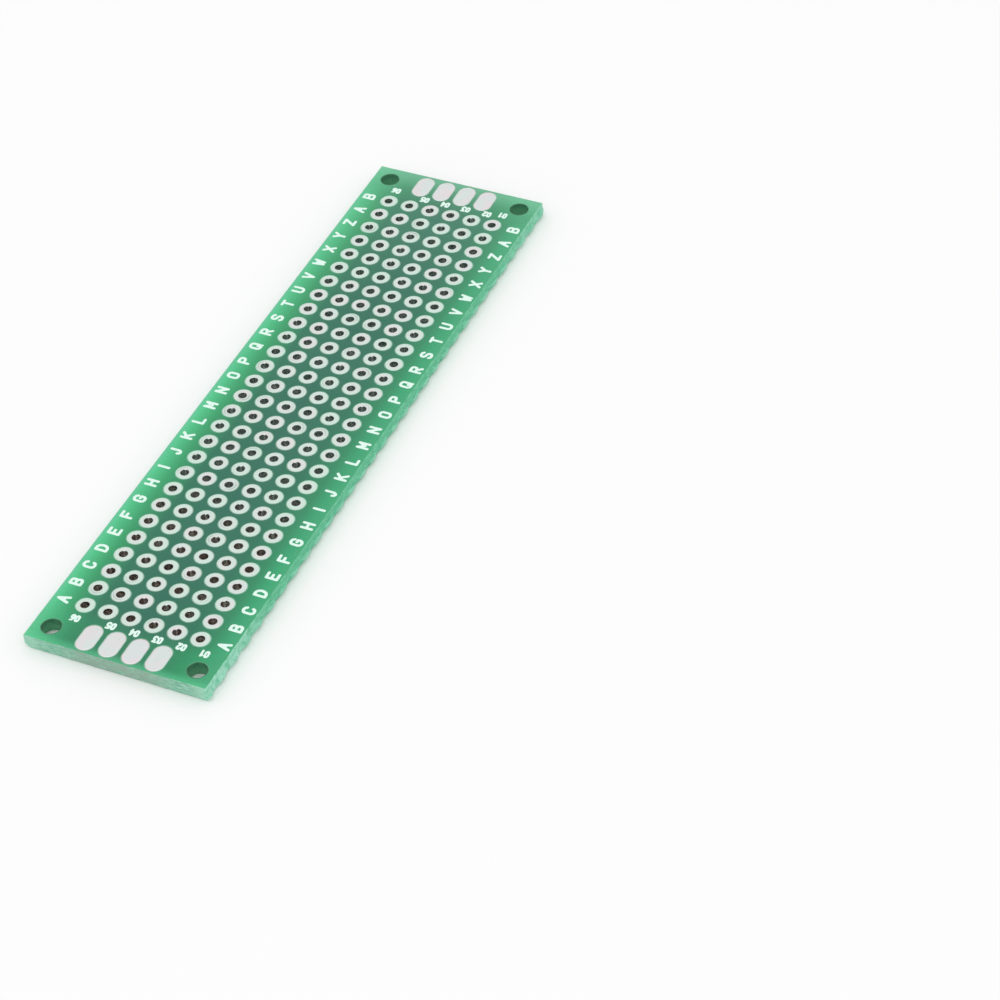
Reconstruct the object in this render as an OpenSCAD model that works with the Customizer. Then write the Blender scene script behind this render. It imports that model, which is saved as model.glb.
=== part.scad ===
// Double-sided prototype board, 2 by 8 cm. A glass-epoxy laminate is drilled with a grid of lead
// holes, and each hole is plated through, with a tinned ring on both faces. Tinned pads stand in
// a row at each end, a screw hole is in each corner, and green lacquer covers the rest.
// The board was made in a strip of boards and snapped off along its right long edge, where the
// perforation left a rounded nub between every two notches.
// Millimetres. The origin is the middle of the underside, +Y runs along the board away from its
// first row, and +Z is up. Near is the end with the first row, and left is the -X side.

/* [Board] */
// Width of the board between its long edges, without the nubs
board_w = 20; // [14:0.5:60]
// Length of the board
board_l = 80; // [40:1:130]
// Finished thickness, measured over the pads of both faces
board_t = 1.6; // [1.2:0.1:3.2]

/* [Lead holes] */
// Distance from one lead hole to the next, along and across
pitch = 2.54; // [2.4:0.01:3]
// Diameter of a finished lead hole, inside its plating
lead_hole_d = 1; // [0.7:0.05:1.3]
// Outer diameter of the tinned ring around a lead hole
ring_d = 2; // [1.7:0.05:2.2]
// Wall of the plating inside a lead hole, as copper and tin together
barrel_wall = 0.075; // [0.065:0.005:0.1]
// Chamfer around both mouths of a lead hole
mouth_chamfer = 0.05; // [0.02:0.005:0.08]
// Least bare strip beside the rings, for the row letters
letter_strip = 2.6; // [2:0.1:5]
// Least bare strip between the rings and the end pads, for the column numbers
number_strip = 0.9; // [0.4:0.05:2]

/* [Pads] */
// Height of rings and end pads above the bare laminate, as copper and tin together
pad_t = 0.05; // [0.04:0.005:0.1]
// Chamfer around the face of a ring or an end pad
pad_chamfer = 0.03; // [0.01:0.005:0.035]
// Width of an end pad, whose ends are full rounds
end_pad_w = 2; // [1.2:0.05:2.2]
// Length of an end pad
end_pad_l = 3.5; // [2.5:0.1:5]
// Bare strip between an end pad and the end of the board
end_pad_inset = 0.25; // [0.15:0.05:1]

/* [Corner holes] */
// Diameter of the screw hole in each corner
corner_hole_d = 2; // [1.6:0.1:2.4]
// Distance from a corner hole's centre to the two board edges beside it
corner_hole_inset = 2; // [1.6:0.1:2.4]

/* [Lacquer] */
// Thickness of the lacquer film on each face
mask_t = 0.03; // [0.015:0.005:0.035]
// Clearance between the lacquer and the rings and pads that it leaves bare
mask_gap = 0.05; // [0.02:0.01:0.09]
// Bare rim that the lacquer leaves around a corner hole
hole_rim = 0.1; // [0.08:0.01:0.3]
// Bare rim that the lacquer leaves along the board's edges
mask_rim = 0.05; // [0.02:0.01:0.2]

/* [Edges] */
// Width of the score line's flank under each long edge
score_w = 0.5; // [0.2:0.05:0.7]
// Height of the score line's flank under each long edge
score_h = 0.4; // [0.2:0.05:0.5]
// Reach of the nubs beyond the right long edge
nub_reach = 0.3; // [0.15:0.05:0.5]
// Height of the blunt tip of a nub
nub_tip_h = 0.2; // [0.1:0.05:0.25]
// Height of the slope from a nub's tip up to the edge
nub_slope_h = 0.25; // [0.1:0.05:0.25]
// Diameter of the perforations that left the notches between the nubs
notch_d = 2.6; // [1.8:0.1:3.2]
// Thickness of material that the notches leave standing beyond the edge
notch_floor = 0.05; // [0.02:0.01:0.1]
// Distance by which each nub lies nearer than the row of holes beside it
nub_shift = 0.4; // [0:0.05:1.2]
// Width of the worn lip along the top of the right long edge
lip_w = 0.1; // [0.05:0.05:0.3]
// Height of the worn lip along the top of the right long edge
lip_h = 0.2; // [0.1:0.05:0.2]

/* [Hidden] */
// Segments of a circle, in a quick view only
$fn = 40;
// Distance by which a cutting shape passes the face that it cuts
over = 1;
laminate_color = [0.60, 0.80, 0.66];
mask_color = [0.20, 0.62, 0.40];
tin_color = [0.86, 0.87, 0.87];

lead_r = lead_hole_d / 2;
ring_r = ring_d / 2;
drill_d = lead_hole_d + 2 * barrel_wall;
// The laminate's bare underside and top
under_z = pad_t;
top_z = board_t - pad_t;
// As many columns and rows of holes as fit between the printed strips
columns = floor((board_w - 2 * (letter_strip + ring_r)) / pitch) + 1;
end_land = end_pad_inset + end_pad_l + number_strip + ring_r;
rows = floor((board_l - 2 * end_land) / pitch) + 1;
// The outer columns have no end pad, because the screw holes are there
end_pads = columns - 2;
end_pad_y = board_l / 2 - end_pad_inset - end_pad_l / 2;
// Notches that follow the grid's pitch past its last rows
spare_notches = floor((board_l - (rows - 1) * pitch) / 2 / pitch);
nub_x = board_w / 2 + nub_reach;

function row_name(r) = str("barrel_row_", r < 9 ? "0" : "", r + 1);
function hole_x(c) = (c - (columns - 1) / 2) * pitch;
function hole_y(r) = (r - (rows - 1) / 2) * pitch;

// Places of the features

module at_lead_holes() {
    for (r = [0 : rows - 1], c = [0 : columns - 1])
        translate([hole_x(c), hole_y(r)]) children();
}

// side is -1 for the near end of the board and 1 for the far end
module at_end_pads(side) {
    for (i = [1 : end_pads])
        translate([hole_x(i), side * end_pad_y]) children();
}

module at_corner_holes() {
    for (x = [-1, 1], y = [-1, 1])
        translate([x * (board_w / 2 - corner_hole_inset), y * (board_l / 2 - corner_hole_inset)])
            children();
}

// Flat outlines

// A bar with full-round ends, lying along Y and grown by the given clearance all round
module stadium(w, l, grow = 0) {
    square([w + 2 * grow, l - w], center = true);
    for (end = [-1, 1])
        translate([0, end * (l - w) / 2]) circle(d = w + 2 * grow);
}

// The board's cross-section: scored underneath along both long edges, with a worn lip above and
// the blunt break line standing out on the right
module board_section() {
    tip_top = under_z + score_h + nub_tip_h;
    polygon([
        [-board_w / 2 + score_w, under_z],
        [nub_x - score_w, under_z],
        [nub_x, under_z + score_h],
        [nub_x, tip_top],
        [board_w / 2, tip_top + nub_slope_h],
        [board_w / 2, top_z - lip_h],
        [board_w / 2 - lip_w, top_z],
        [-board_w / 2, top_z],
        [-board_w / 2, under_z + score_h]
    ]);
}

// The board seen from above: drilled, and notched by the perforation along its right edge
module board_plan() {
    notch_x = board_w / 2 + notch_floor + notch_d / 2;
    difference() {
        translate([-board_w / 2 - over, -board_l / 2]) square([board_w + 2 * over, board_l]);
        at_lead_holes() circle(d = drill_d);
        at_corner_holes() circle(d = corner_hole_d);
        for (k = [-spare_notches - 1 : rows + spare_notches - 1])
            translate([notch_x, hole_y(k + 0.5) - nub_shift]) circle(d = notch_d);
    }
}

// A lacquer film from x = left to x = right, with every ring, pad and screw hole left bare
module film_plan(left, right) {
    difference() {
        translate([left + mask_rim, -board_l / 2 + mask_rim])
            square([right - left - 2 * mask_rim, board_l - 2 * mask_rim]);
        at_lead_holes() circle(r = ring_r + mask_gap);
        at_corner_holes() circle(d = corner_hole_d + 2 * hole_rim);
        for (side = [-1, 1])
            at_end_pads(side) stadium(end_pad_w, end_pad_l, mask_gap);
    }
}

// What a chamfer takes off an outside corner at the origin, with some air beyond the corner. The
// material lies towards -X and -Y.
module corner_tip(c) {
    polygon([[-c, 0], [0, -c], [c, -c], [c, c], [-c, c]]);
}

// Half of a pad's section, from its middle to its chamfered outer edge, with its solder side up
module pad_half_section(half_w) {
    difference() {
        square([half_w, pad_t]);
        translate([half_w, pad_t]) corner_tip(pad_chamfer);
    }
}

// The section of a plated hole right of its axis: a barrel with a ring at each end, chamfered
// outside and at the mouth of the hole
module plated_hole_section() {
    difference() {
        union() {
            translate([lead_r, 0]) square([barrel_wall, board_t]);
            for (z = [0, top_z])
                translate([lead_r, z]) square([ring_r - lead_r, pad_t]);
        }
        for (face = [0, 1])
            translate([0, face * board_t]) mirror([0, 1 - face]) {
                translate([ring_r, 0]) corner_tip(pad_chamfer);
                translate([lead_r, 0]) mirror([1, 0]) corner_tip(mouth_chamfer);
            }
    }
}

// Solids

module plated_hole() {
    rotate_extrude() plated_hole_section();
}

// One end pad on z = 0, solder side up
module end_pad() {
    straight = end_pad_l - end_pad_w;
    rotate([90, 0, 0]) linear_extrude(straight, center = true) {
        pad_half_section(end_pad_w / 2);
        mirror([1, 0]) pad_half_section(end_pad_w / 2);
    }
    for (turn = [0, 180])
        rotate([0, 0, turn]) translate([0, straight / 2, 0])
            rotate_extrude(angle = 180) pad_half_section(end_pad_w / 2);
}

// The drilled glass-epoxy panel with its scored and snapped edges
module laminate() {
    color(laminate_color)
        intersection() {
            rotate([90, 0, 0]) linear_extrude(board_l, center = true) board_section();
            linear_extrude(board_t) board_plan();
        }
}

module upper_lacquer() {
    color(mask_color)
        translate([0, 0, top_z]) linear_extrude(mask_t)
            film_plan(-board_w / 2, board_w / 2 - lip_w);
}

module lower_lacquer() {
    color(mask_color)
        translate([0, 0, under_z - mask_t]) linear_extrude(mask_t)
            film_plan(-board_w / 2 + score_w, nub_x - score_w);
}

module upper_end_pads(side) {
    color(tin_color)
        translate([0, 0, top_z]) at_end_pads(side) end_pad();
}

module lower_end_pads(side) {
    color(tin_color)
        translate([0, 0, under_z]) at_end_pads(side) mirror([0, 0, 1]) end_pad();
}

// The plated holes of one row, from side to side
module barrel_row(r) {
    color(tin_color)
        for (c = [0 : columns - 1])
            translate([hole_x(c), hole_y(r), 0]) plated_hole();
}

laminate();
upper_lacquer();
lower_lacquer();
upper_end_pads(-1);  // upper_end_pads_near
upper_end_pads(1);  // upper_end_pads_far
lower_end_pads(-1);  // lower_end_pads_near
lower_end_pads(1);  // lower_end_pads_far
for (r = [0 : rows - 1])
    barrel_row(r);
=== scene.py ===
import bmesh
import bpy
import numpy as np
from mathutils import Matrix, Vector


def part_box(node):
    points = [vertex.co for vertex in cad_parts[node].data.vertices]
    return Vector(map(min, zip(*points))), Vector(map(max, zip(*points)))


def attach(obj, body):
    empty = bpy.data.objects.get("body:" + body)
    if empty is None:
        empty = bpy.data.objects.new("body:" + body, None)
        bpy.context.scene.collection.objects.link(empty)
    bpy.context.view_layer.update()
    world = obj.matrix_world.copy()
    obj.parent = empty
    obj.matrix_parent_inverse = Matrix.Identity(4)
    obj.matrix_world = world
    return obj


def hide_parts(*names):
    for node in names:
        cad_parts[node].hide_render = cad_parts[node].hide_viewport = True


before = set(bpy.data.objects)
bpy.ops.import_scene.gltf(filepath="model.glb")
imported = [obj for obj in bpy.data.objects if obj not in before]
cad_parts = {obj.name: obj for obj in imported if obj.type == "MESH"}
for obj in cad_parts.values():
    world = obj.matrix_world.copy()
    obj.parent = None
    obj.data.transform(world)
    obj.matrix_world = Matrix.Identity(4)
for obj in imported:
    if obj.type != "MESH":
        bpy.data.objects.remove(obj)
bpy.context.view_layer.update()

scene = bpy.context.scene
scene.view_settings.view_transform = "Standard"


# The camera
# It stands 30 cm from the board, in front of its near right corner, and looks down at it from 43
# degrees above, as in the photograph. Its place is in metres, and both directions have length 1.
CAMERA_PLACE = Vector((0.11925, -0.19536, 0.19886))
LOOK = Vector((-0.32525, 0.65443, -0.68259))
IMAGE_UP = Vector((-0.24499, 0.63888, 0.72925))
LENS_MM = 104.28

lens = bpy.data.cameras.new("camera")
lens.lens = LENS_MM
lens.sensor_width = 36
lens.clip_start = 0.01
camera = bpy.data.objects.new("camera", lens)
scene.collection.objects.link(camera)
image_right = LOOK.cross(IMAGE_UP)
camera_turn = Matrix((image_right, IMAGE_UP, -LOOK)).transposed().to_4x4()
camera.matrix_world = Matrix.Translation(CAMERA_PLACE) @ camera_turn
scene.camera = camera


# The floor and the light
# A wide white table under an even white sky, with a soft box above the near end of the board.
# Sizes and places are in metres.
FLOOR_HALF = 1.5
FLOOR_DROP = 2e-5
FLOOR_LIT, FLOOR_SEEN = 0.88, 0.98
SKY_LIGHT, SKY_SEEN = 0.93, 1.0
LAMP_PLACE = Vector((0.05, -0.30, 0.75))
LAMP_SIZE = 0.90
LAMP_WATTS = 0.70


def add_node(tree, kind, settings, *inputs):
    """Adds a node. Each input is a number, a colour or another node's output, and None leaves it."""
    node = tree.nodes.new(kind)
    for key, value in settings.items():
        setattr(node, key, value)
    for socket, value in zip(node.inputs, inputs):
        if isinstance(value, bpy.types.NodeSocket):
            tree.links.new(value, socket)
        elif value is not None:
            socket.default_value = value
    return node


def maths(tree, operation, *inputs):
    """One step of arithmetic on numbers or outputs."""
    return add_node(tree, "ShaderNodeMath", {"operation": operation}, *inputs).outputs[0]


def level(tree, lit, seen):
    """The value lit for the light that falls on the board, and the value seen for a ray that comes
    from the camera or from a glossy or clear surface."""
    ray = tree.nodes.new("ShaderNodeLightPath").outputs
    direct = maths(tree, "MAXIMUM", ray["Is Camera Ray"], ray["Is Glossy Ray"])
    is_seen = maths(tree, "MAXIMUM", direct, ray["Is Transmission Ray"])
    return add_node(tree, "ShaderNodeMapRange", {}, is_seen, 0, 1, lit, seen).outputs[0]


floor_mesh = bpy.data.meshes.new("floor")
floor_corners = [(x * FLOOR_HALF, y * FLOOR_HALF, -FLOOR_DROP)
                 for x, y in ((-1, -1), (1, -1), (1, 1), (-1, 1))]
floor_mesh.from_pydata(floor_corners, [], [(0, 1, 2, 3)])
floor = bpy.data.objects.new("floor", floor_mesh)
scene.collection.objects.link(floor)
floor_paint = bpy.data.materials.new("white_table")
floor_paint.use_nodes = True
floor_tree = floor_paint.node_tree
floor_shader = floor_tree.nodes["Principled BSDF"]
floor_tree.links.new(level(floor_tree, FLOOR_LIT, FLOOR_SEEN), floor_shader.inputs["Base Color"])
floor_shader.inputs["Roughness"].default_value = 0.9
floor_shader.inputs["Specular IOR Level"].default_value = 0.0
floor_mesh.materials.append(floor_paint)

sky = bpy.data.worlds.new("sky")
sky.use_nodes = True
scene.world = sky
sky_tree = sky.node_tree
sky_light = sky_tree.nodes["Background"]
sky_light.inputs["Color"].default_value = (1, 1, 1, 1)
sky_tree.links.new(level(sky_tree, SKY_LIGHT, SKY_SEEN), sky_light.inputs["Strength"])

soft_box = bpy.data.lights.new("near_soft_box", "AREA")
soft_box.size = LAMP_SIZE
soft_box.energy = LAMP_WATTS
lamp = bpy.data.objects.new("near_soft_box", soft_box)
scene.collection.objects.link(lamp)
lamp_turn = (-LAMP_PLACE).to_track_quat("-Z", "Y").to_matrix().to_4x4()
lamp.matrix_world = Matrix.Translation(LAMP_PLACE) @ lamp_turn


# The laminate
# A panel of woven glass cloth in epoxy, drilled and cut square at its two ends. Its long edges were
# scored underneath, and it was snapped off its neighbour along the perforated right one, which left
# a torn nub between every two notches. All sizes here are in millimetres.
MM = 0.001
PITCH = 2.54
COLUMNS, ROWS = 6, 28
HOLE_X = (np.arange(COLUMNS) - (COLUMNS - 1) / 2) * PITCH
HOLE_Y = (np.arange(ROWS) - (ROWS - 1) / 2) * PITCH
FIELD_X, FIELD_Y = COLUMNS * PITCH / 2, ROWS * PITCH / 2
HALF_W, HALF_L = 10.0, 40.0
CORNER_X, CORNER_Y = 8.0, 38.0
PAD_Y, OPENING_HALF_SPINE = 38.0, 0.75
DRILLED_R = {"lead": 0.575, "pad": 0.0, "corner": 1.0}
WALL_STEPS = {"lead": 2, "corner": 9}
WALL_ROUGH = 0.03
UNDER_Z, TOP_Z = (corner.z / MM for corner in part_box("laminate"))
MIDDLE_Z = (UNDER_Z + TOP_Z) / 2
CELL_STEPS = 16
MARGIN_STEPS_X, MARGIN_STEPS_Y = 10, 28

# The long edges' cross-sections, as heights and how far out the edge stands at each. The right one
# also has round notches, and its fibres are torn most at one height.
SCORE_TOP_Z, BREAK_TOP_Z, LIP_Z = 0.45, 0.90, 1.45
RIGHT_SECTION = ([UNDER_Z, SCORE_TOP_Z, 0.65, BREAK_TOP_Z, LIP_Z, TOP_Z],
                 [9.80, 10.26, 10.26, 9.99, 9.99, 9.96])
LEFT_SECTION = ([UNDER_Z, SCORE_TOP_Z, TOP_Z], [-9.50, -9.99, -9.99])
NOTCH_X, NOTCH_R = 11.34, 1.3
NOTCH_SOFT, NOTCH_STRAY = 0.05, 0.05
NUB_SHIFT = 0.4
TEAR_Z, TEAR_H = 0.62, 0.28
FIBRE, TORN_FIBRE = 0.008, 0.035
SAWN_BACK, SAW_MARK = 0.014, 0.012

# The plan's lines: evenly spaced in the field of lead holes and in each margin
LINES_X = np.concatenate([np.linspace(-HALF_W, -FIELD_X, MARGIN_STEPS_X + 1)[:-1],
                          np.linspace(-FIELD_X, FIELD_X, COLUMNS * CELL_STEPS + 1),
                          np.linspace(FIELD_X, HALF_W, MARGIN_STEPS_X + 1)[1:]])
LINES_Y = np.concatenate([np.linspace(-HALF_L, -FIELD_Y, MARGIN_STEPS_Y + 1)[:-1],
                          np.linspace(-FIELD_Y, FIELD_Y, ROWS * CELL_STEPS + 1),
                          np.linspace(FIELD_Y, HALF_L, MARGIN_STEPS_Y + 1)[1:]])


def ripple(u, v, seed):
    """Value noise from -1 to 1: random heights on a unit lattice that repeats after 64 steps,
    joined by smooth steps."""
    heights = np.random.default_rng(seed).uniform(-1, 1, (64, 64))
    u, v = np.broadcast_arrays(u, v)
    i, j = np.floor(u).astype(int), np.floor(v).astype(int)
    s, t = u - i, v - j
    s, t = s * s * (3 - 2 * s), t * t * (3 - 2 * t)
    i, next_i, j, next_j = i % 64, (i + 1) % 64, j % 64, (j + 1) % 64
    near = heights[i, j] * (1 - s) + heights[next_i, j] * s
    far = heights[i, next_j] * (1 - s) + heights[next_i, next_j] * s
    return near * (1 - t) + far * t


def spread(plan, right, left, near, far):
    """Moves the plan's margins so that its borders lie at the given edges. Outside the field, a
    point's distance from the field is scaled by the margin's new width over its old width."""
    x, y = plan[..., 0], plan[..., 1]
    wide, long = HALF_W - FIELD_X, HALF_L - FIELD_Y
    new_x = x + (np.clip(x - FIELD_X, 0, None) * ((right - FIELD_X) / wide - 1)
                 + np.clip(x + FIELD_X, None, 0) * ((-FIELD_X - left) / wide - 1))
    new_y = y + (np.clip(y - FIELD_Y, 0, None) * ((far - FIELD_Y) / long - 1)
                 + np.clip(y + FIELD_Y, None, 0) * ((-FIELD_Y - near) / long - 1))
    return np.stack([new_x, new_y], -1)


def right_edge(y, z):
    """The snapped edge: the lesser of the section and of the circle of a notch midway between two
    nubs, softly joined, with the fibres of the break standing out by a few hundredths."""
    section = np.interp(z, *RIGHT_SECTION)
    along = (y + NUB_SHIFT) / PITCH
    off_notch = (along - np.round(along)) * PITCH
    notch = NOTCH_X - np.sqrt(np.clip(NOTCH_R ** 2 - off_notch ** 2, 0, None))
    notch = notch + NOTCH_STRAY * ripple(along - 0.5, 0.5, 3)
    overlap = np.exp(-np.abs(section - notch) / NOTCH_SOFT)
    edge = np.minimum(section, notch) - NOTCH_SOFT * overlap / 2
    torn = np.exp(-((z - TEAR_Z) / TEAR_H) ** 2)
    fibres = 0.6 * ripple(y / 0.33, z / 0.5, 5) + 0.4 * ripple(y / 0.17, z / 0.22, 6)
    return edge + (FIBRE + TORN_FIBRE * torn) * fibres


def left_edge(y, z):
    """The other scored edge: a straight wall above the sloping flank of the score."""
    return np.interp(z, *LEFT_SECTION) + FIBRE * ripple(y / 0.4, z / 0.25, 8)


def end_edge(x, z, seed):
    """A sawn end's distance from the middle: flat, with the saw's fine marks."""
    marks = 0.6 * ripple(x / 0.45, z / 0.18, seed) + 0.4 * ripple(x / 0.2, z / 0.4, seed + 1)
    return HALF_L - SAWN_BACK + SAW_MARK * marks


def laminate_plan(plan, z):
    """The plan's points moved to the laminate's real outline at height z."""
    x, y = plan[..., 0], plan[..., 1]
    return spread(plan, right_edge(y, z), left_edge(y, z), -end_edge(x, z, 11), end_edge(x, z, 14))


def at_height(plan, z):
    """Plan points with a height."""
    return np.concatenate([plan, np.broadcast_to(z, plan.shape[:-1])[..., None]], -1)


def sheet(points, closed=False, **paints):
    """Quads over rows by columns of points. A closed sheet joins its last column to its first.
    Paints are values for each point, which a material reads."""
    rows, columns = points.shape[:2]
    index = np.arange(rows * columns).reshape(rows, columns)
    if closed:
        index = np.concatenate([index, index[:, :1]], 1)
    quads = np.stack([index[:-1, :-1], index[:-1, 1:], index[1:, 1:], index[1:, :-1]], -1)
    values = {key: np.broadcast_to(value, (rows, columns)).ravel() for key, value in paints.items()}
    return points.reshape(-1, 3), quads.reshape(-1, 4), values


def border(near_x, right_y, far_x, left_y):
    """The points around a rectangle of the plan, anticlockwise from its near left corner."""
    def side(x, y):
        """One side's points but the last, with which the next side starts."""
        return np.stack(np.broadcast_arrays(x, y), -1)[:-1]
    return np.concatenate([side(near_x, right_y[0]), side(near_x[-1], right_y),
                           side(far_x[::-1], right_y[-1]), side(near_x[0], left_y[::-1])])


def around(plan, centre, half_spine, reach):
    """The points of an opening that face a border's points. The opening is all that lies within
    reach of a spine through its centre along Y: a circle where the spine has no length, and a bar
    with round ends where it has."""
    off = plan - centre
    spine = np.stack([np.zeros(len(off)), np.clip(off[:, 1], -half_spine, half_spine)], -1)
    way = off - spine
    return centre + spine + reach * way / np.linalg.norm(way, axis=1, keepdims=True)


def cut(lines, low, high, slack=1e-6):
    """The part of the plan's lines from low to high."""
    return lines[(lines > low - slack) & (lines < high + slack)]


def cells():
    """The plan's tiles that hold an opening: its kind, centre, half spine and border points. A wire
    pad's opening has a spine, and is in the lacquer alone."""
    half = PITCH / 2
    for x in HOLE_X:
        for y in HOLE_Y:
            xs, ys = cut(LINES_X, x - half, x + half), cut(LINES_Y, y - half, y + half)
            yield "lead", np.array([x, y]), 0.0, border(xs, ys, xs, ys)
    for side in (-1, 1):
        ys = cut(LINES_Y, *sorted((side * FIELD_Y, side * HALF_L)))
        for x in HOLE_X[1:-1]:
            xs = cut(LINES_X, x - half, x + half)
            yield "pad", np.array([x, side * PAD_Y]), OPENING_HALF_SPINE, border(xs, ys, xs, ys)
        for x_side in (-1, 1):
            xs = cut(LINES_X, *sorted((x_side * 2 * PITCH, x_side * HALF_W)))
            yield "corner", np.array([x_side * CORNER_X, side * CORNER_Y]), 0.0, border(xs, ys, xs, ys)


def side_strips():
    """The plan's tiles without an opening, beside the field of lead holes."""
    ys = cut(LINES_Y, -FIELD_Y, FIELD_Y)
    for low, high in ((-HALF_W, -FIELD_X), (FIELD_X, HALF_W)):
        yield np.stack(np.meshgrid(cut(LINES_X, low, high), ys), -1)


def make_piece(name, patches, material, nodes=(), crease=40, touch=2e-7):
    """One closed mesh of all patches. Points closer than touch become one, faces turn outwards, and
    edges sharper than the crease angle, in degrees, stay sharp."""
    counts = np.cumsum([0] + [len(points) for points, _, _ in patches])
    points = np.concatenate([patch[0] for patch in patches]) * MM
    quads = np.concatenate([quads + start for (_, quads, _), start in zip(patches, counts)])
    mesh = bpy.data.meshes.new(name)
    mesh.from_pydata(points, [], quads.tolist())
    for key in patches[0][2]:
        values = np.concatenate([patch[2][key] for patch in patches]).astype(np.float32)
        mesh.attributes.new(key, "FLOAT", "POINT").data.foreach_set("value", values)
    work = bmesh.new()
    work.from_mesh(mesh)
    bmesh.ops.remove_doubles(work, verts=work.verts, dist=touch)
    bmesh.ops.recalc_face_normals(work, faces=work.faces)
    work.to_mesh(mesh)
    work.free()
    mesh.polygons.foreach_set("use_smooth", np.ones(len(mesh.polygons), bool))
    mesh.set_sharp_from_angle(angle=np.radians(crease))
    mesh.materials.append(material)
    made = bpy.data.objects.new(name, mesh)
    scene.collection.objects.link(made)
    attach(made, "root")
    if nodes:
        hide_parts(*nodes)


def colour(red, green, blue):
    """A screen colour, 0 to 255, as the linear colour that a shader takes."""
    screen = np.array([red, green, blue]) / 255
    linear = np.where(screen < 0.04045, screen / 12.92, ((screen + 0.055) / 1.055) ** 2.4)
    return (*linear, 1.0)


def new_finish(name):
    """An empty material: the material, its tree, its shader and its Object coordinates."""
    material = bpy.data.materials.new(name)
    material.use_nodes = True
    tree = material.node_tree
    place = tree.nodes.new("ShaderNodeTexCoord").outputs["Object"]
    return material, tree, tree.nodes["Principled BSDF"], place


def mottle(tree, place, per_mm, detail=3.0, squeeze=(1, 1, 1)):
    """Noise of the given number of spots in a millimetre, squeezed along an axis if wanted."""
    scaled = add_node(tree, "ShaderNodeVectorMath", {"operation": "MULTIPLY"}, place, squeeze)
    noise = add_node(tree, "ShaderNodeTexNoise", {}, scaled.outputs[0], None, per_mm / MM, detail)
    return noise.outputs[0]


def between(tree, value, low, high, to_low=0.0, to_high=1.0):
    """A smooth step from one value to another while the input goes from low to high."""
    return add_node(tree, "ShaderNodeMapRange", {"interpolation_type": "SMOOTHSTEP"},
                    value, low, high, to_low, to_high).outputs[0]


def blend(tree, share, first, second):
    """The first colour where the share is 0 and the second where it is 1."""
    node = tree.nodes.new("ShaderNodeMix")
    node.data_type = "RGBA"
    for socket, value in ((node.inputs[0], share), (node.inputs[6], first), (node.inputs[7], second)):
        if isinstance(value, bpy.types.NodeSocket):
            tree.links.new(value, socket)
        else:
            socket.default_value = value
    return node.outputs[2]


def relief(tree, shader, height, depth_mm):
    """Bump of a given depth, for what is finer than the mesh."""
    node = add_node(tree, "ShaderNodeBump", {}, 1.0, depth_mm * MM, None, height)
    tree.links.new(node.outputs[0], shader.inputs["Normal"])


def glass_epoxy():
    """Mint resin with thin greyer layers of glass cloth. The sawn ends are greyest in the middle.
    The snapped edge is greener, but crazed pale towards both ends and at the tips of its nubs. The
    walls of the screw holes are a deeper green, with painted shade: darker towards the top and lighter
    towards the underside."""
    material, tree, shader, place = new_finish("glass_epoxy")
    axes = add_node(tree, "ShaderNodeSeparateXYZ", {}, place).outputs
    across, along = maths(tree, "ABSOLUTE", axes[0]), maths(tree, "ABSOLUTE", axes[1])
    layers = between(tree, mottle(tree, place, 1.1, 4.0, (1, 1, 6)), 0.36, 0.66)
    speckle = mottle(tree, place, 4.5, 3.0, (1, 1, 2))

    sawn = blend(tree, layers, colour(112, 178, 148), colour(160, 212, 188))
    corners = between(tree, across, 8.0 * MM, 9.3 * MM, 0.0, 0.6)
    sawn = blend(tree, corners, sawn, colour(166, 220, 194))
    cloth = between(tree, mottle(tree, place, 0.7, 4.0, (1, 1, 3)), 0.32, 0.60, 0.35, 1.0)
    inward = between(tree, across, 7.0 * MM, 3.0 * MM, 0.0, 0.85)
    sawn = blend(tree, maths(tree, "MULTIPLY", inward, cloth), sawn, colour(146, 170, 154))

    snapped = blend(tree, layers, colour(62, 172, 126), colour(98, 202, 154))
    near_crazing = between(tree, axes[1], -26 * MM, -35 * MM, 0.15, 0.90)
    far_crazing = between(tree, axes[1], 24 * MM, 36 * MM, 0.0, 0.55)
    clouds = between(tree, mottle(tree, place, 1.3, 4.0), 0.32, 0.60, 0.3, 1.0)
    crazed = maths(tree, "MULTIPLY", maths(tree, "MAXIMUM", near_crazing, far_crazing), clouds)
    tips = between(tree, axes[0], 10.04 * MM, 10.22 * MM, 0.0, 0.5)
    snapped = blend(tree, maths(tree, "MAXIMUM", crazed, tips), snapped, colour(164, 224, 200))

    base = blend(tree, between(tree, axes[0], 9.55 * MM, 9.85 * MM), sawn, snapped)
    base = blend(tree, between(tree, speckle, 0.58, 0.78, 0.0, 0.45), base, colour(206, 236, 218))
    base = blend(tree, between(tree, speckle, 0.42, 0.28, 0.0, 0.30), base, colour(92, 146, 116))

    off_x = maths(tree, "SUBTRACT", across, CORNER_X * MM)
    off_y = maths(tree, "SUBTRACT", along, CORNER_Y * MM)
    off_squared = maths(tree, "ADD", maths(tree, "MULTIPLY", off_x, off_x),
                        maths(tree, "MULTIPLY", off_y, off_y))
    # Painted shade on the screw holes' walls: darker towards the top, lighter towards the underside
    # where light comes through
    painted_wall_shade = between(tree, axes[2], 0.4 * MM, 1.5 * MM)
    drilled = blend(tree, painted_wall_shade, colour(104, 182, 138), colour(40, 112, 78))
    scars = between(tree, mottle(tree, place, 2.2, 3.0), 0.35, 0.65, 0.0, 0.4)
    drilled = blend(tree, scars, drilled, colour(96, 160, 124))
    at_hole = between(tree, maths(tree, "SQRT", off_squared), 1.20 * MM, 1.05 * MM)
    base = blend(tree, at_hole, base, drilled)

    tree.links.new(base, shader.inputs["Base Color"])
    tree.links.new(between(tree, speckle, 0.3, 0.7, 0.75, 0.5), shader.inputs["Roughness"])
    relief(tree, shader, speckle, 0.03)
    return material


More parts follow.
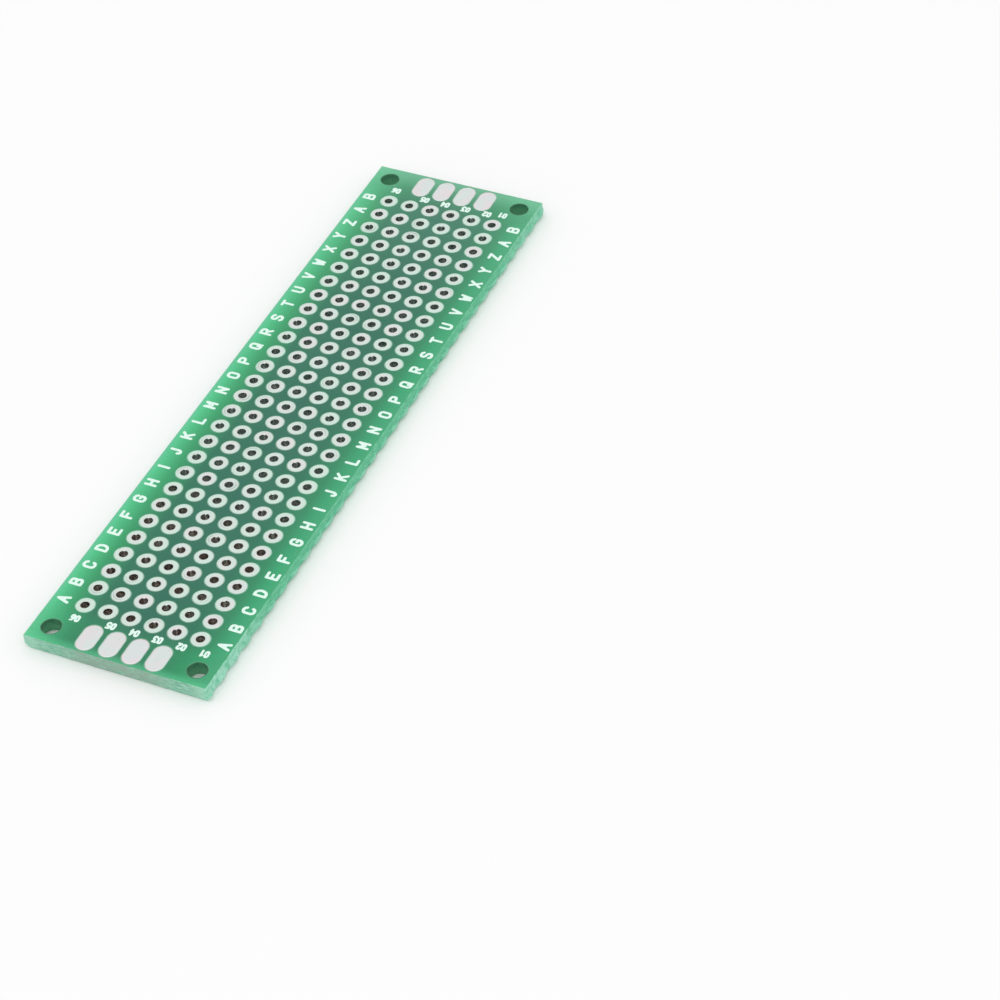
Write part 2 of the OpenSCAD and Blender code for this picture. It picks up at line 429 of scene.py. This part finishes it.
def hole_wall(kind, centre, rim):
    """A hole's wall, from the underside to the top. The drill leaves a screw hole's wall rough: its
    radius swells by noise over angle and height, most at the middle and not at all at the faces. A
    plated hole's wall has no points between the faces, so it is plain."""
    heights = np.linspace(UNDER_Z, TOP_Z, WALL_STEPS[kind])[:, None]
    circle = around(rim, centre, 0.0, DRILLED_R[kind]) - centre
    turn = 4 * np.abs(np.arctan2(circle[:, 1], circle[:, 0]))
    rough = WALL_ROUGH * np.sin(np.pi * (heights - UNDER_Z) / (TOP_Z - UNDER_Z))
    swell = 1 + rough * ripple(turn, 5 * heights + centre.sum(), 17)
    return sheet(at_height(centre + circle * swell[..., None], heights), closed=True)


laminate_patches = []
for kind, centre, half_spine, rim in cells():
    for z in (UNDER_Z, TOP_Z):
        inner = around(rim, centre, half_spine, DRILLED_R[kind])
        face = np.stack([laminate_plan(rim, z), inner])
        laminate_patches.append(sheet(at_height(face, z), closed=True))
    if kind != "pad":
        laminate_patches.append(hole_wall(kind, centre, rim))
for strip in side_strips():
    for z in (UNDER_Z, TOP_Z):
        laminate_patches.append(sheet(at_height(laminate_plan(strip, z), z)))

# The band around the outline has its heights closest together where the right edge is broken
band_steps = ((UNDER_Z, SCORE_TOP_Z, 5), (SCORE_TOP_Z, 0.95, 8), (0.95, 1.35, 5), (1.35, TOP_Z, 4))
band_heights = np.unique(np.concatenate([np.linspace(*steps) for steps in band_steps]))
outline = border(LINES_X, LINES_Y, LINES_X, LINES_Y)
band = np.stack([at_height(laminate_plan(outline, z), z) for z in band_heights])
laminate_patches.append(sheet(band, closed=True))
make_piece("laminate_panel", laminate_patches, glass_epoxy(), ["laminate"],
           crease=50)


# The lacquer
# A green film is printed on both faces and baked. It leaves each ring, pad and screw hole bare by a
# little gap, thins out towards every opening, and is chipped back where the board was snapped off.
MASK_T = 0.03
MASK_SUNK = 0.002
MASK_RIM, MASK_WAVE = 0.04, 0.03
RIGHT_CHIP, FLAKE, NEAR_CHIP = 0.09, 0.05, 0.13
OPENING_R = {"lead": 1.03, "pad": 1.04, "corner": 1.10}

# The film's rounded shoulder: steps in from its edge, and the share of its thickness at each
SHOULDER = np.array([0.0, 0.012, 0.030, 0.055])
SHOULDER_RISE = np.array([0.0, 0.55, 0.9, 1.0])


def film_plan(plan, right, left, inset, worn):
    """The plan's points moved to the film's border. It stands back from the board's edges by a
    small uneven rim. Where it is worn it stands back by flakes along the right edge, and by chips
    along the right and the near edge that grow towards the corner between them."""
    x, y = plan[..., 0], plan[..., 1]
    back = MASK_RIM + inset + MASK_WAVE * np.abs(ripple(x / 0.5 + y / 0.45, 0.5, 21))
    flakes = FLAKE * np.clip(ripple(y / 0.7, 0.5, 25), 0, 1)
    right_chips = RIGHT_CHIP * (0.55 + 0.45 * ripple(y / 0.5, 0.5, 23))
    near_chips = NEAR_CHIP * (0.6 + 0.4 * ripple(x / 0.42, 0.5, 27))
    to_near_end = np.clip((-28 - y) / 10, 0, 1)
    to_right_edge = np.clip((x - 4.5) / 4, 0, 1)
    right_back = back + worn * (flakes + right_chips * to_near_end)
    near_back = back + worn * near_chips * to_right_edge
    return spread(plan, right - right_back, left + back, -HALF_L + near_back, HALF_L - back)


def lacquer_patches(face_z, up, right, left, worn):
    """The film's patches: a rounded shoulder around each opening, the flat between them, the
    shoulder along the border, and the underside."""
    patches = []
    sunk = face_z - up * MASK_SUNK
    top = sunk + up * (MASK_T + MASK_SUNK)
    shoulder = (sunk + up * (MASK_T + MASK_SUNK) * SHOULDER_RISE)[:, None]
    flat, thin = SHOULDER[-1], (1 - SHOULDER_RISE)[:, None]
    for kind, centre, half_spine, rim in cells():
        loops = [around(rim, centre, half_spine, OPENING_R[kind] + step) for step in SHOULDER]
        loops.append(film_plan(rim, right, left, flat, worn))
        skin = at_height(np.stack(loops), np.vstack([shoulder, top]))
        patches.append(sheet(skin, closed=True, thin=np.vstack([thin, 0.0])))
        under = np.stack([around(rim, centre, half_spine, OPENING_R[kind]),
                          film_plan(rim, right, left, 0.0, worn)])
        patches.append(sheet(at_height(under, sunk), closed=True, thin=1.0))
    for strip in side_strips():
        skin = at_height(film_plan(strip, right, left, flat, worn), top)
        under = at_height(film_plan(strip, right, left, 0.0, worn), sunk)
        patches += [sheet(skin, thin=0.0), sheet(under, thin=1.0)]
    border_loops = np.stack([film_plan(outline, right, left, step, worn) for step in SHOULDER])
    patches.append(sheet(at_height(border_loops, shoulder), closed=True, thin=0.5 * thin))
    return patches


def ramp(tree, value, stops):
    """Colours at places from 0 to 1, joined by straight blends. The first stands at 0 and the last
    at 1."""
    node = add_node(tree, "ShaderNodeValToRGB", {}, value)
    marks = node.color_ramp.elements
    for place, _ in stops[1:-1]:
        marks.new(place)
    for mark, (_, shade) in zip(marks, stops):
        mark.color = shade
    return node.outputs[0]


def green_lacquer():
    """Glossy green over pale laminate. The margins are painted bright, as the light that enters at the
    bare margins and shines through them. The field is painted darker and greyer, as the shade that the
    rings' copper keeps there. Where the film thins out it is paler."""
    material, tree, shader, place = new_finish("green_lacquer")
    axes = add_node(tree, "ShaderNodeSeparateXYZ", {}, place).outputs
    across = add_node(tree, "ShaderNodeMapRange", {}, axes[0], -HALF_W * MM, HALF_W * MM, 0, 1)
    # Painted light: the bright margins and the dark field between them stand in for light shining
    # through the laminate and for the copper's shade
    field = ramp(tree, across.outputs[0], [
        (0.000, colour(98, 200, 156)), (0.030, colour(73, 201, 139)), (0.050, colour(64, 191, 129)),
        (0.119, colour(34, 158, 99)), (0.246, colour(12, 112, 81)), (0.500, colour(12, 103, 81)),
        (0.754, colour(14, 111, 82)), (0.881, colour(24, 137, 91)), (0.950, colour(36, 165, 110)),
        (1.000, colour(56, 170, 116))])
    ends = ramp(tree, across.outputs[0], [
        (0.000, colour(86, 197, 142)), (0.030, colour(74, 195, 136)), (0.090, colour(52, 174, 116)),
        (0.200, colour(8, 140, 87)), (0.260, colour(14, 130, 86)), (0.500, colour(34, 122, 86)),
        (0.740, colour(14, 132, 87)), (0.800, colour(6, 142, 87)), (0.920, colour(38, 160, 106)),
        (1.000, colour(60, 166, 116))])
    along = maths(tree, "ABSOLUTE", axes[1])
    base = blend(tree, between(tree, along, 34.2 * MM, 36.8 * MM), field, ends)
    # Painted haze: the far half is painted paler and greyer
    painted_far_haze = between(tree, axes[1], 16 * MM, 40 * MM, 0.0, 0.2)
    base = blend(tree, painted_far_haze, base, colour(104, 176, 140))
    # Painted glow along the near and far borders, where light comes through the board's ends
    painted_near_glow = between(tree, axes[1], -38.8 * MM, -40 * MM, 0.0, 0.5)
    base = blend(tree, painted_near_glow, base, colour(92, 210, 152))
    painted_far_glow = between(tree, axes[1], 36.4 * MM, 40.2 * MM, 0.0, 0.6)
    base = blend(tree, painted_far_glow, base, colour(126, 210, 168))
    patchy = mottle(tree, place, 0.16, 2.0)
    base = blend(tree, between(tree, patchy, 0.35, 0.65, 0.0, 0.10), base, colour(60, 134, 108))
    grain = mottle(tree, place, 5.0, 2.0)
    base = blend(tree, between(tree, grain, 0.3, 0.75, 0.0, 0.10), base, colour(10, 80, 50))
    thin = add_node(tree, "ShaderNodeAttribute", {"attribute_name": "thin"}).outputs["Fac"]
    base = blend(tree, maths(tree, "MULTIPLY", thin, 0.5), base, colour(164, 214, 168))
    tree.links.new(base, shader.inputs["Base Color"])
    gloss = between(tree, mottle(tree, place, 0.6, 3.0), 0.3, 0.7, 0.2, 0.32)
    tree.links.new(gloss, shader.inputs["Roughness"])
    relief(tree, shader, mottle(tree, place, 1.6, 2.0), 0.004)
    return material


lacquer = green_lacquer()
upper_film = lacquer_patches(TOP_Z, 1, RIGHT_SECTION[1][-1], -HALF_W, 1.0)
make_piece("upper_film", upper_film, lacquer, ["upper_lacquer"])
lower_film = lacquer_patches(UNDER_Z, -1, RIGHT_SECTION[1][0], LEFT_SECTION[1][0], 0.0)
make_piece("lower_film", lower_film, lacquer, ["lower_lacquer"])


# The lead holes
# Each hole's wall and its ring on both faces are one skin of plated copper. Hot air levelled the
# tin on it into a low dome that thins towards the hole's mouth.
RING_SIDES = 16
PAD_T = 0.05
BARREL_R = DRILLED_R["lead"]

# A ring's profile from its rim over the dome and into the hole: its radius, its rise above the
# laminate in thicknesses of the tin, and how sunk in the hole it is. The underside has some of them.
RING_R = np.array([0.970, 0.950, 0.870, 0.720, 0.600, 0.520, 0.470, 0.455, 0.480])
RING_RISE = np.array([0.0, 0.75, 1.0, 1.0, 0.95, 0.70, 0.0, -1.5, -6.0])
RING_SUNK = np.array([0.0, 0.0, 0.0, 0.0, 0.0, 0.10, 0.35, 0.70, 0.92])
UNDER_RING = [8, 6, 4, 2, 1, 0]
SEAM_R = RING_R[3]

# At about this angle, in radians from the right, a run of tin hangs from the mouth, and the wall below
# it is painted the colour of clean tin, as a painted highlight on the far wall
RUN_AT = 2.03
RUN_THICK = 0.17

# How unlike each other the holes are: the tin's thickness as a share, and the rest in millimetres
THINNEST = 0.14
OVAL, THREE_SIDED = 0.010, 0.006
MOUTH_SHIFT, MOUTH_STRAY = (-0.050, 0.025), 0.025
LEAN = 0.004


def bright_tin():
    """Tin levelled by hot air: soft white metal with a frosty grain and faint pink and greenish
    patches, now and then a grey seam, a polished mouth, and lumpy walls that flux has browned."""
    material, tree, shader, place = new_finish("bright_tin")
    axes = add_node(tree, "ShaderNodeSeparateXYZ", {}, place).outputs
    paint = {key: add_node(tree, "ShaderNodeAttribute", {"attribute_name": key}).outputs["Fac"]
             for key in ("lot", "sunk", "seam")}
    patches = mottle(tree, place, 0.9, 3.0)
    warm_or_cool = between(tree, patches, 0.36, 0.64)
    base = blend(tree, warm_or_cool, colour(218, 225, 224), colour(230, 221, 225))
    base = blend(tree, paint["lot"], base, colour(208, 230, 218))
    grain = mottle(tree, place, 6.0, 2.0)
    base = blend(tree, between(tree, grain, 0.55, 0.8, 0.0, 0.3), base, colour(190, 186, 186))
    base = blend(tree, maths(tree, "MULTIPLY", paint["seam"], 0.6), base, colour(130, 134, 132))
    farther = between(tree, axes[1], -26 * MM, -8 * MM)
    flux = blend(tree, farther, colour(166, 144, 132), colour(172, 190, 184))
    clean_spots = between(tree, mottle(tree, place, 2.2, 2.0), 0.46, 0.62)
    stain = blend(tree, clean_spots, flux, colour(214, 212, 204))
    base = blend(tree, paint["sunk"], base, stain)
    tree.links.new(base, shader.inputs["Base Color"])
    shader.inputs["Metallic"].default_value = 1.0
    mouth = maths(tree, "MULTIPLY", paint["sunk"], maths(tree, "SUBTRACT", 1.0, paint["sunk"]))
    polish = between(tree, patches, 0.3, 0.7, 0.34, 0.46)
    dull = maths(tree, "ADD", polish, maths(tree, "MULTIPLY", paint["sunk"], 0.2))
    tree.links.new(maths(tree, "SUBTRACT", dull, mouth), shader.inputs["Roughness"])
    lumps = maths(tree, "MULTIPLY", mottle(tree, place, 2.6, 2.0), paint["sunk"])
    relief(tree, shader, maths(tree, "ADD", lumps, maths(tree, "MULTIPLY", grain, 0.1)), 0.05)
    return material


def ring_patch(x, y, chance):
    """One plated hole: the profile of dome, mouth, wall and underside, turned around the hole's
    axis. Its outline is out of round by two and three waves of a cosine, its mouth is a little off
    centre, one side of the dome stands higher by a cosine, and at one place a narrow run of tin
    hangs from the mouth, with a painted highlight on the upper wall below it."""
    lot, thin, phase, skew, lean, blob, seam = chance.uniform(0, 1, 7)
    at_run = np.arange(RING_SIDES) == 0
    sides = np.linspace(0, 2 * np.pi, RING_SIDES, endpoint=False)
    angle = RUN_AT + 0.5 * (phase - 0.5) + sides
    turn = 2 * np.pi * phase
    rise = PAD_T * RING_RISE * (1 - THINNEST * thin)
    radius = np.concatenate([RING_R, RING_R[UNDER_RING], [BARREL_R, BARREL_R, RING_R[0]]])[:, None]
    height = np.concatenate([TOP_Z + rise, UNDER_Z - rise[UNDER_RING],
                             [UNDER_Z, TOP_Z, TOP_Z + rise[0]]])[:, None]
    sunk = np.concatenate([RING_SUNK, RING_SUNK[UNDER_RING], [1, 1, 0]])[:, None]

    bonded = radius == BARREL_R
    out_of_round = OVAL * np.cos(2 * (angle - turn)) + THREE_SIDED * np.cos(3 * angle + turn)
    run = np.clip(2.2 * blob - 0.9, 0, 1) * at_run * (height > TOP_Z - 0.2) * ~bonded
    wide = radius * (1 + out_of_round * ~bonded)
    wide = wide - RUN_THICK * run * np.clip((0.58 - radius) / 0.1, 0, 1)
    # Painted highlight: the upper wall below the run keeps the clean tin's colour, as the streak of
    # light on the far wall
    wall_highlight = (0.45 + 0.5 * blob) * at_run * (height > MIDDLE_Z)
    sunk = sunk * (1 - 0.9 * run) * (1 - wall_highlight)

    mouth = np.clip((0.9 - radius) / 0.4, 0, 1) * ~bonded
    stray = MOUTH_STRAY * skew
    px = x + wide * np.cos(angle) + mouth * (MOUTH_SHIFT[0] + stray * np.cos(turn * 3))
    py = y + wide * np.sin(angle) + mouth * (MOUTH_SHIFT[1] + stray * np.sin(turn * 3))
    dome = np.clip((radius - 0.5) * (1 - radius) * 16, 0, 1)
    pz = height - np.sign(height - MIDDLE_Z) * LEAN * lean * dome * (1 + np.cos(angle - turn))

    # Some rings are greener, and all are towards the rim. A few have a grey seam on one side
    green = 0.05 + 0.65 * lot + 0.35 * (radius > 0.7)
    arc = np.clip(np.cos(angle - turn * 2), 0, 1) * (radius == SEAM_R) * (height > TOP_Z)
    grey = 2.5 * np.clip(seam - 0.6, 0, 1) * arc
    return sheet(np.stack([px, py, pz], -1), closed=True, lot=green, sunk=sunk, seam=grey)


tin = bright_tin()
chance = np.random.default_rng(41)
for row, y in enumerate(HOLE_Y):
    rings = [ring_patch(x, y, chance) for x in HOLE_X]
    make_piece(f"plated_holes_{row + 1:02d}", rings, tin,
               [f"barrel_row_{row + 1:02d}"])


# The end pads
# Four bare copper pads with round ends lie side by side at each end of both faces, for soldered
# wires. They are levelled with tin like the rings, and the tin's skin shows faint ripples.
PAD_HALF_W, PAD_HALF_SPINE = 0.97, 0.73
SKIN_RIPPLE = 0.05

# A pad's section from its edge to its middle: shares of its half width, and of the tin's thickness
PAD_REACH = np.array([1.0, 0.975, 0.93, 0.85, 0.70, 0.45, 0.20, 0.0])
PAD_RISE = np.array([0.0, 0.50, 0.78, 0.90, 0.94, 0.94, 0.94, 0.94])
for end, side in (("near", -1), ("far", 1)):
    for face, face_z, up in (("upper", TOP_Z, 1), ("lower", UNDER_Z, -1)):
        pads = []
        for kind, centre, _, rim in cells():
            if kind != "pad" or centre[1] * side < 0:
                continue
            loops = np.stack([around(rim, centre, PAD_HALF_SPINE, PAD_HALF_W * reach)
                              for reach in PAD_REACH])
            skin = SKIN_RIPPLE * ripple(loops[..., 0] / 0.5, loops[..., 1] / 0.7, 51)
            on_top = (PAD_RISE > 0.85)[:, None]
            heights = face_z + up * PAD_T * (PAD_RISE[:, None] + skin * on_top)
            plain = {"lot": 0.25 * chance.uniform(0, 1), "sunk": 0.0, "seam": 0.0}
            pads.append(sheet(at_height(loops, heights), closed=True, **plain))
            pads.append(sheet(at_height(loops[[0, -1]], face_z), closed=True, **plain))
        make_piece(f"wire_pads_{face}_{end}", pads, tin,
                   [f"{face}_end_pads_{end}"])


# The legend
# White ink is screened over the lacquer of the top face: a row letter in both long margins and a
# column number at both ends. The strokes have round ends and slightly ragged edges.
LACQUER_Z = TOP_Z + MASK_T
INK_T, INK_SUNK = 0.016, 0.003

# Along its outline the ink has this share of its thickness, and the outline frays by this much
INK_RIM, FRAY = 0.4, 0.0084

# The grid that a character's film is cut from, and the sizes of letters and digits
GRID_STEP = 0.045
EASE_STEPS = 6
LETTER_SIZE, LETTER_STROKE = (0.69, 1.14), 0.31
DIGIT_SIZE, DIGIT_STROKE, DIGIT_GAP = (0.31, 0.71), 0.23, 0.20
LETTER_X = {"left": -8.79, "right": 8.93}

# The middle of each column number, from column 1 to 6
NUMBER_PLACES = {
    "near": [(7.63, -35.88), (5.12, -35.88), (2.54, -35.88), (0.0, -35.88), (-2.59, -35.88),
             (-6.39, -36.2)],
    "far": [(6.73, 36.3), (4.98, 35.88), (2.41, 35.88), (-0.11, 35.88), (-2.64, 35.88),
            (-6.39, 36.3)],
}

# Each character's strokes, as shares of its width and height
BOWL = [(1, .78), (.86, .94), (.62, 1), (.38, 1), (.14, .94), (0, .78), (0, .22), (.14, .06), (.38, 0),
        (.62, 0), (.86, .06), (1, .22)]
LOOP = BOWL + BOWL[:1]
STROKES = {
    "A": [[(0, 0), (.5, 1), (1, 0)], [(.2, .4), (.8, .4)]],
    "B": [[(0, .52), (.64, .52), (.88, .62), (.92, .78), (.84, .93), (.62, 1), (0, 1), (0, 0),
           (.66, 0), (.9, .07), (1, .24), (.92, .43), (.64, .52)]],
    "C": [BOWL],
    "D": [[(0, 0), (0, 1), (.5, 1), (.84, .87), (1, .6), (1, .4), (.84, .13), (.5, 0), (0, 0)]],
    "E": [[(1, 1), (0, 1), (0, 0), (1, 0)], [(0, .52), (.75, .52)]],
    "F": [[(1, 1), (0, 1), (0, 0)], [(0, .52), (.75, .52)]],
    "G": [BOWL + [(1, .48), (.6, .48)]],
    "H": [[(0, 0), (0, 1)], [(1, 0), (1, 1)], [(0, .52), (1, .52)]],
    "I": [[(.5, 0), (.5, 1)]],
    "J": [[(.8, 1), (.8, .24), (.64, .06), (.42, 0), (.2, .07), (.1, .26)]],
    "K": [[(0, 0), (0, 1)], [(1, 1), (0, .38)], [(.34, .6), (1, 0)]],
    "L": [[(0, 1), (0, 0), (.9, 0)]],
    "M": [[(0, 0), (0, 1), (.5, .34), (1, 1), (1, 0)]],
    "N": [[(0, 0), (0, 1), (1, 0), (1, 1)]],
    "O": [LOOP],
    "P": [[(0, 0), (0, 1), (.66, 1), (.92, .92), (1, .74), (.92, .55), (.66, .47), (0, .47)]],
    "Q": [LOOP, [(.6, .3), (1, -.04)]],
    "R": [[(0, 0), (0, 1), (.66, 1), (.92, .92), (1, .74), (.92, .55), (.66, .47), (0, .47)],
          [(.5, .47), (1, 0)]],
    "S": [[(.96, .84), (.76, .98), (.3, 1), (.06, .9), (.02, .7), (.16, .57), (.8, .44), (.97, .32),
           (.95, .12), (.72, 0), (.26, 0), (.04, .15)]],
    "T": [[(0, 1), (1, 1)], [(.5, 1), (.5, 0)]],
    "U": [[(0, 1), (0, .24), (.14, .06), (.38, 0), (.62, 0), (.86, .06), (1, .24), (1, 1)]],
    "V": [[(0, 1), (.5, 0), (1, 1)]],
    "W": [[(0, 1), (.24, 0), (.5, .7), (.76, 0), (1, 1)]],
    "X": [[(0, 0), (1, 1)], [(0, 1), (1, 0)]],
    "Y": [[(0, 1), (.5, .5), (1, 1)], [(.5, .5), (.5, 0)]],
    "Z": [[(0, 1), (1, 1), (0, 0), (1, 0)]],
    "0": [LOOP],
    "1": [[(.15, .8), (.6, 1), (.6, 0)]],
    "2": [[(0, .78), (.14, .95), (.5, 1), (.86, .94), (.98, .76), (.9, .56), (0, 0), (1, 0)]],
    "3": [[(0, 1), (1, 1), (.45, .6), (.8, .56), (1, .38), (.98, .16), (.76, 0), (.3, 0), (0, .14)]],
    "4": [[(.75, 0), (.75, 1), (0, .32), (1, .32)]],
    "5": [[(.95, 1), (.1, 1), (.04, .56), (.5, .62), (.86, .54), (1, .34), (.95, .12), (.7, 0),
           (.25, 0), (0, .13)]],
    "6": [[(.9, .98), (.4, .9), (.08, .58), (0, .28), (.14, .06), (.5, 0), (.86, .06), (1, .28),
           (.86, .5), (.5, .56), (.12, .46)]],
}


def glyph(character, size, stroke):
    """One character, centred on its own axes. Its outline is where the distance to the nearest
    stroke is half the stroke's width. A fine grid keeps the squares whose middle lies inside. Then
    each point goes to the middle of its neighbours, and those on the rim back onto the outline."""
    lines = [np.array(line, float) for line in STROKES[character]]
    starts = np.concatenate([line[:-1] for line in lines])
    ends = np.concatenate([line[1:] for line in lines])
    starts, ends = (starts - 0.5) * size, (ends - 0.5) * size
    half = stroke / 2
    reach = np.array(size) / 2 + half + 2 * GRID_STEP
    columns, rows = np.ceil(2 * reach / GRID_STEP).astype(int)

    def nearest(points):
        """The nearest point on any stroke, and how far it is."""
        way = ends - starts
        share = np.einsum("pk,pk->p", way, way)
        share = np.einsum("npk,pk->np", points[:, None] - starts, way) / share
        foot = starts + np.clip(share, 0, 1)[..., None] * way
        far = np.linalg.norm(points[:, None] - foot, axis=2)
        best = far.argmin(1)
        pick = np.arange(len(points))
        return foot[pick, best], far[pick, best]

    x = (np.arange(columns + 1) - columns / 2) * GRID_STEP
    y = (np.arange(rows + 1) - rows / 2) * GRID_STEP
    corners = np.stack(np.meshgrid(x, y), -1)
    middles = (corners[:-1, :-1] + corners[1:, 1:]) / 2
    inside = (nearest(middles.reshape(-1, 2))[1] < half).reshape(rows, columns)
    index = np.arange(corners.shape[0] * corners.shape[1]).reshape(corners.shape[:2])
    quads = np.stack([index[:-1, :-1], index[:-1, 1:], index[1:, 1:], index[1:, :-1]], -1)[inside]
    used, quads = np.unique(quads, return_inverse=True)
    points, quads = corners.reshape(-1, 2)[used], quads.reshape(-1, 4)
    sides = np.sort(np.stack([quads, np.roll(quads, -1, axis=1)], -1).reshape(-1, 2), axis=1)
    sides, uses = np.unique(sides, axis=0, return_counts=True)
    on_rim = np.isin(np.arange(len(points)), sides[uses == 1])
    links = np.concatenate([sides, sides[:, ::-1]])
    links = links[np.tile(uses == 1, 2) | ~on_rim[links[:, 0]]]
    for _ in range(EASE_STEPS):
        total = np.zeros((len(points), 3))
        np.add.at(total, links[:, 0], np.insert(points[links[:, 1]], 2, 1, axis=1))
        points = total[:, :2] / total[:, 2:]
        foot, far = nearest(points[on_rim])
        points[on_rim] = foot + (points[on_rim] - foot) * half / far[:, None]
    return points, quads, sides[uses == 1]


def ink_patches(text, centre, turn, size, stroke, gap):
    """A word's characters side by side, turned about its centre. Each is a thin film of ink: an
    upper and a lower skin, with a low wall between them along the outline."""
    patches = []
    cos, sin = np.cos(turn), np.sin(turn)
    for place, character in enumerate(text):
        flat, quads, rim = glyph(character, size, stroke)
        on_rim = np.isin(np.arange(len(flat)), rim)
        flat = flat + [(place - (len(text) - 1) / 2) * (size[0] + gap), 0]
        plan = flat @ np.array([[cos, sin], [-sin, cos]]) + centre
        ragged = FRAY * on_rim * ripple(plan[:, 0] / 0.11, plan[:, 1] / 0.11, 61)
        plan = plan + ragged[:, None]
        uneven = 1 + 0.18 * ripple(plan[:, 0] / 0.2, plan[:, 1] / 0.2, 62)
        lower = at_height(plan, LACQUER_Z - INK_SUNK)
        upper = at_height(plan, LACQUER_Z + INK_T * uneven * np.where(on_rim, INK_RIM, 1.0))
        wall = np.concatenate([rim, rim[:, ::-1] + len(plan)], axis=1)
        faces = np.concatenate([quads[:, ::-1], quads + len(plan), wall])
        patches.append((np.concatenate([lower, upper]), faces, {}))
    return patches


def white_ink():
    """Matt white screening ink with a hint of the green below it where the film is thin."""
    material, tree, shader, place = new_finish("white_ink")
    cover = mottle(tree, place, 3.0, 3.0)
    thin = between(tree, cover, 0.58, 0.8, 0.0, 0.5)
    base = blend(tree, thin, colour(228, 252, 242), colour(150, 214, 182))
    tree.links.new(base, shader.inputs["Base Color"])
    tree.links.new(between(tree, cover, 0.3, 0.7, 0.45, 0.6), shader.inputs["Roughness"])
    relief(tree, shader, mottle(tree, place, 5.0, 2.0), 0.006)
    return material


ink = white_ink()
ROW_NAMES = "ABCDEFGHIJKLMNOPQRSTUVWXYZAB"
for side, x in LETTER_X.items():
    letters = []
    for name, y in zip(ROW_NAMES, HOLE_Y):
        letters += ink_patches(name, (x, y), np.pi / 2, LETTER_SIZE, LETTER_STROKE, 0)
    make_piece(f"row_letters_{side}", letters, ink)
for end, places in NUMBER_PLACES.items():
    numbers = []
    for column, place in enumerate(places):
        name = f"0{column + 1}"
        numbers += ink_patches(name, place, np.pi, DIGIT_SIZE, DIGIT_STROKE, DIGIT_GAP)
    make_piece(f"column_numbers_{end}", numbers, ink)
